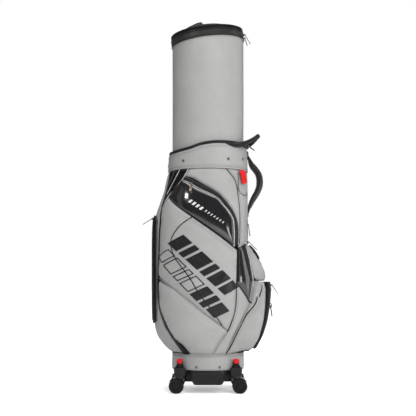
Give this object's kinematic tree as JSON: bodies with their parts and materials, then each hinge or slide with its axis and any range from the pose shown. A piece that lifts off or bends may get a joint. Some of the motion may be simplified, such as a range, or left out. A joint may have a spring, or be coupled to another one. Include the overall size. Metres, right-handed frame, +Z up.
{
  "type": "wheeled golf bag with a telescoping hood",
  "caption": "Upright golf bag on four swivel casters, with a divided tube for clubs, a telescoping hood with a zipped lid, handles and bulging zipped side pockets.",
  "frame": {"origin": "on the floor, on the axis of the bag's tube", "axes": "+Z up along the tube, +X towards the ball pocket and the carry handle, -Y towards the near side pocket"},
  "size_m": [0.4685, 0.3038, 1.2669],
  "materials": {
    "grey_leather": "matt pebbled synthetic leather",
    "black_leather": "glossy patent synthetic leather",
    "black_plastic": "satin moulded plastic",
    "red_plastic": "gloss",
    "red_webbing": "woven",
    "gunmetal": "dark bronze plating",
    "zip_tape": "woven tape with moulded teeth",
    "tube_board": "matt",
    "wheel_rubber": "satin"
  },
  "bodies": {
    "bag": {"chassis": "black_plastic", "bottom_grips": "black_plastic", "chassis_screws": "gunmetal", "caster_posts": "black_plastic", "base_cup": "black_plastic", "collar": "grey_leather", "rivets": "gunmetal", "outer_tube": "tube_board", "hood_stop_ring": "black_plastic", "core_tube": "tube_board", "divider_top": "black_plastic", "divider_webs": "tube_board", "bag_skin": "grey_leather", "cuff": "grey_leather", "cuff_rim": "black_plastic", "lift_handle": "black_plastic", "carry_handle": "black_leather", "umbrella_sleeve": "grey_leather", "red_tab": "red_webbing", "side_pocket_near": "grey_leather", "side_pocket_far": "grey_leather", "garment_pocket": "grey_leather", "garment_door": "black_leather", "upper_pocket": "grey_leather", "upper_flap": "grey_leather", "ball_pocket": "grey_leather", "side_zips": "zip_tape", "garment_zip": "zip_tape", "upper_zip": "zip_tape", "ball_zip": "zip_tape", "ring_loop": "black_leather"},
    "hood": {"hood_tube": "grey_leather", "hood_rim": "black_leather", "hood_foot_ring": "black_plastic", "hood_zip": "zip_tape"},
    "lid": {"lid_shell": "black_leather", "lid_handle": "black_leather"},
    "lid_pull_upper": {"lid_pull_upper": "gunmetal"},
    "lid_pull_lower": {"lid_pull_lower": "gunmetal"},
    "near_pull": {"near_pull": "gunmetal"},
    "far_pull": {"far_pull": "gunmetal"},
    "garment_pull": {"garment_pull": "gunmetal"},
    "upper_pull": {"upper_pull": "gunmetal"},
    "right_pull": {"right_pull": "gunmetal"},
    "ball_pull": {"ball_pull": "gunmetal"},
    "towel_ring": {"towel_ring": "gunmetal"},
    "brake_button_l": {"brake_button_l": "red_plastic"},
    "brake_button_r": {"brake_button_r": "red_plastic"},
    "fork_fl": {"fork_fl": "black_plastic"},
    "wheel_fl_outer": {"wheel_fl_outer": "wheel_rubber"},
    "wheel_fl_inner": {"wheel_fl_inner": "wheel_rubber"},
    "fork_fr": {"fork_fr": "black_plastic"},
    "wheel_fr_outer": {"wheel_fr_outer": "wheel_rubber"},
    "wheel_fr_inner": {"wheel_fr_inner": "wheel_rubber"},
    "fork_rl": {"fork_rl": "black_plastic"},
    "wheel_rl_outer": {"wheel_rl_outer": "wheel_rubber"},
    "wheel_rl_inner": {"wheel_rl_inner": "wheel_rubber"},
    "fork_rr": {"fork_rr": "black_plastic"},
    "wheel_rr_outer": {"wheel_rr_outer": "wheel_rubber"},
    "wheel_rr_inner": {"wheel_rr_inner": "wheel_rubber"}
  },
  "joints": [
    {"name": "hood_slide", "type": "slide", "parent": "bag", "child": "hood", "axis": [0, 0, 1], "range_m": [-0.335, 0]},
    {"name": "lid_hinge", "type": "hinge", "parent": "hood", "child": "lid", "pos_m": [-0.12627, 0, 1.20317], "axis": [0, -1, 0], "range_deg": [0, 105]},
    {"name": "lid_pull_upper_swing", "type": "hinge", "parent": "hood", "child": "lid_pull_upper", "pos_m": [0.12699, -0.00907, 1.22245], "axis": [-0.0694, -0.9976, -0.0073], "range_deg": [-29, 60]},
    {"name": "lid_pull_lower_swing", "type": "hinge", "parent": "hood", "child": "lid_pull_lower", "pos_m": [0.12744, 0.01133, 1.21647], "axis": [0.0867, -0.9962, 0.0091], "range_deg": [-17, 70]},
    {"name": "near_pull_swing", "type": "hinge", "parent": "bag", "child": "near_pull", "pos_m": [-0.05651, -0.13313, 0.696], "axis": [-0.9205, 0.3907, 0], "range_deg": [-5, 100]},
    {"name": "far_pull_swing", "type": "hinge", "parent": "bag", "child": "far_pull", "pos_m": [-0.05651, 0.13313, 0.696], "axis": [0.9205, 0.3907, 0], "range_deg": [-5, 100]},
    {"name": "garment_pull_swing", "type": "hinge", "parent": "bag", "child": "garment_pull", "pos_m": [-0.19475, 0, 0.59], "axis": [0, 1, 0], "range_deg": [-56, 60]},
    {"name": "upper_pull_swing", "type": "hinge", "parent": "bag", "child": "upper_pull", "pos_m": [0.14136, 0, 0.51], "axis": [0, -1, 0], "range_deg": [-1, 70]},
    {"name": "right_pull_swing", "type": "hinge", "parent": "bag", "child": "right_pull", "pos_m": [0.13775, -0.03434, 0.568], "axis": [-0.2419, -0.9703, 0], "range_deg": [-7, 100]},
    {"name": "ball_pull_swing", "type": "hinge", "parent": "bag", "child": "ball_pull", "pos_m": [0.22064, 0, 0.362], "axis": [0, -1, 0], "range_deg": [-29, 100]},
    {"name": "towel_ring_swing", "type": "hinge", "parent": "bag", "child": "towel_ring", "pos_m": [0.21556, 0, 0.292], "axis": [0, -1, 0], "range_deg": [-6, 110]},
    {"name": "brake_button_l_press", "type": "slide", "parent": "bag", "child": "brake_button_l", "axis": [0, 0, 1], "range_m": [-0.004, 0], "stiffness_N_per_m": 800},
    {"name": "brake_button_r_press", "type": "slide", "parent": "bag", "child": "brake_button_r", "axis": [0, 0, 1], "range_m": [-0.004, 0], "stiffness_N_per_m": 800},
    {"name": "swivel_fl", "type": "hinge", "parent": "bag", "child": "fork_fl", "pos_m": [-0.094, -0.105, 0.06], "axis": [0, 0, 1], "continuous": true},
    {"name": "roll_fl_outer", "type": "hinge", "parent": "fork_fl", "child": "wheel_fl_outer", "pos_m": [-0.106, -0.105, 0.025], "axis": [0, 1, 0], "continuous": true},
    {"name": "roll_fl_inner", "type": "hinge", "parent": "fork_fl", "child": "wheel_fl_inner", "pos_m": [-0.106, -0.105, 0.025], "axis": [0, 1, 0], "continuous": true},
    {"name": "swivel_fr", "type": "hinge", "parent": "bag", "child": "fork_fr", "pos_m": [0.094, -0.105, 0.06], "axis": [0, 0, 1], "continuous": true},
    {"name": "roll_fr_outer", "type": "hinge", "parent": "fork_fr", "child": "wheel_fr_outer", "pos_m": [0.106, -0.105, 0.025], "axis": [0, 1, 0], "continuous": true},
    {"name": "roll_fr_inner", "type": "hinge", "parent": "fork_fr", "child": "wheel_fr_inner", "pos_m": [0.106, -0.105, 0.025], "axis": [0, 1, 0], "continuous": true},
    {"name": "swivel_rl", "type": "hinge", "parent": "bag", "child": "fork_rl", "pos_m": [-0.094, 0.105, 0.06], "axis": [0, 0, 1], "continuous": true},
    {"name": "roll_rl_outer", "type": "hinge", "parent": "fork_rl", "child": "wheel_rl_outer", "pos_m": [-0.106, 0.105, 0.025], "axis": [0, 1, 0], "continuous": true},
    {"name": "roll_rl_inner", "type": "hinge", "parent": "fork_rl", "child": "wheel_rl_inner", "pos_m": [-0.106, 0.105, 0.025], "axis": [0, 1, 0], "continuous": true},
    {"name": "swivel_rr", "type": "hinge", "parent": "bag", "child": "fork_rr", "pos_m": [0.094, 0.105, 0.06], "axis": [0, 0, 1], "continuous": true},
    {"name": "roll_rr_outer", "type": "hinge", "parent": "fork_rr", "child": "wheel_rr_outer", "pos_m": [0.106, 0.105, 0.025], "axis": [0, 1, 0], "continuous": true},
    {"name": "roll_rr_inner", "type": "hinge", "parent": "fork_rr", "child": "wheel_rr_inner", "pos_m": [0.106, 0.105, 0.025], "axis": [0, 1, 0], "continuous": true}
  ]
}
